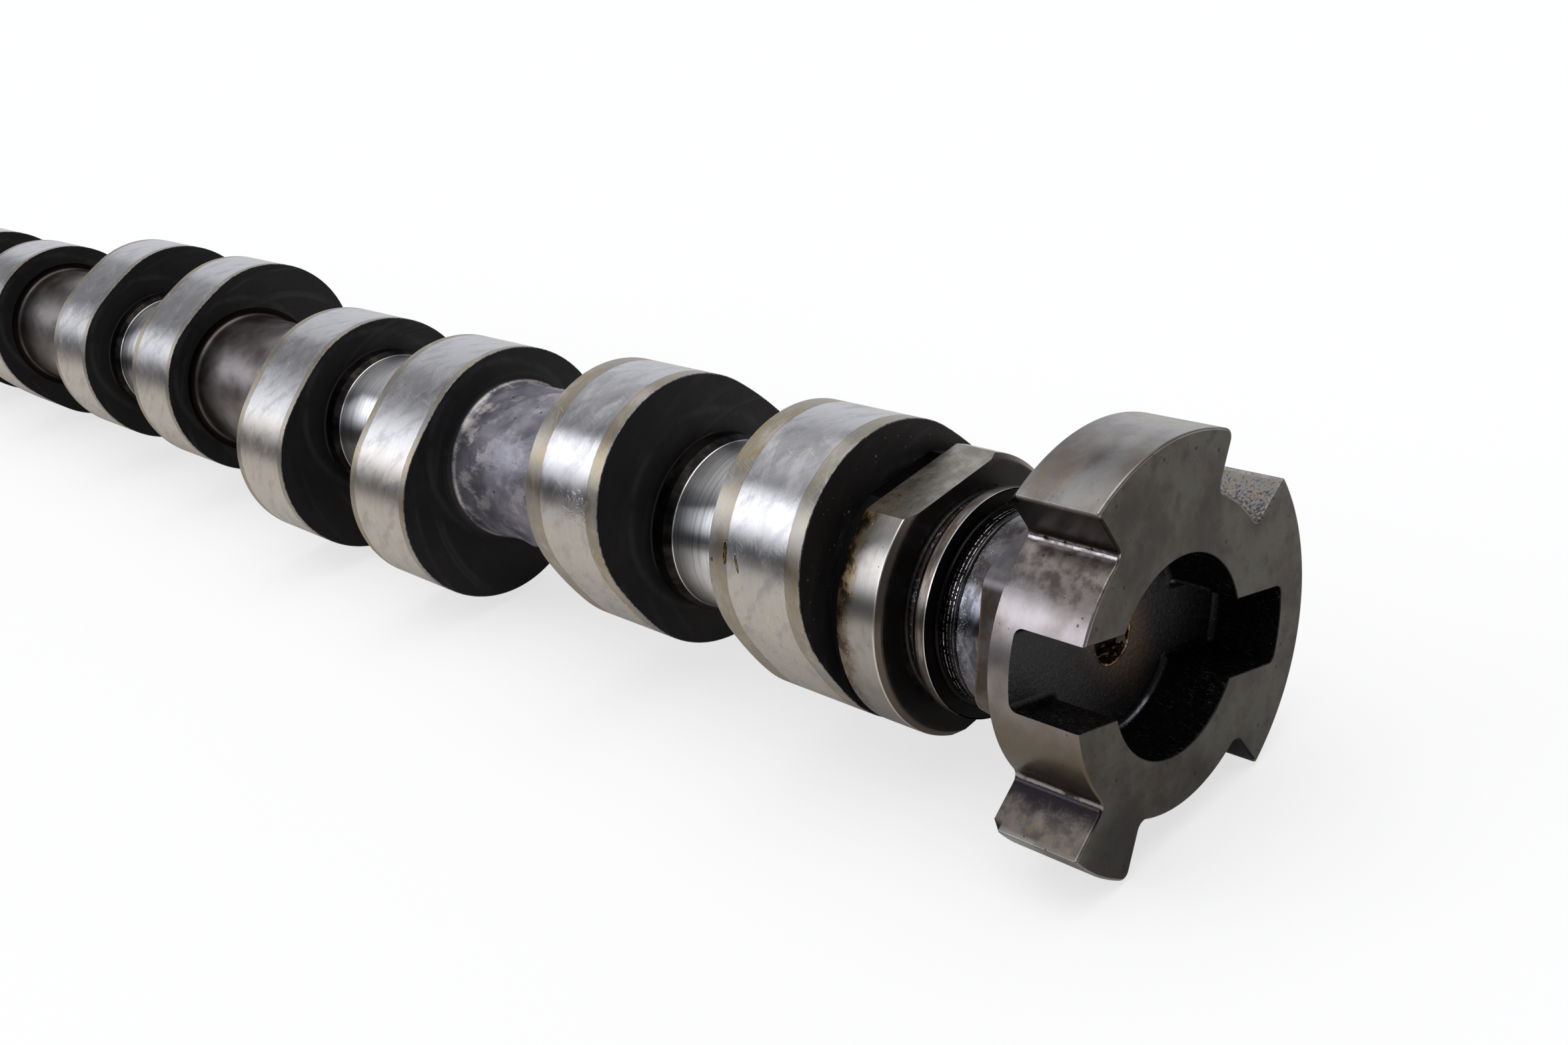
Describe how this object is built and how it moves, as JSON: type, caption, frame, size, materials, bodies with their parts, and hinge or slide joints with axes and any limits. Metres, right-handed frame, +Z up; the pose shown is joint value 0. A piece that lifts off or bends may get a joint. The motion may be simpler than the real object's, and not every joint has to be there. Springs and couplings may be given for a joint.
{
  "type": "camshaft",
  "caption": "Overhead camshaft with paired cams, ground journals between them, a wrench collar and a slotted end flange with timing vanes.",
  "frame": {"origin": "centre of the drive slot's mouth, on the shaft's axis in the flange's front face", "axes": "X along the shaft with the flange at +X, +Z up as the shaft lies at rest on its flange vane and its cam noses"},
  "size_m": [0.4126, 0.0487, 0.0487],
  "materials": {
    "cast_iron": "ground cams and journals, dark cast and hardened faces"
  },
  "bodies": {
    "root": {"camshaft": "cast_iron"}
  },
  "joints": []
}
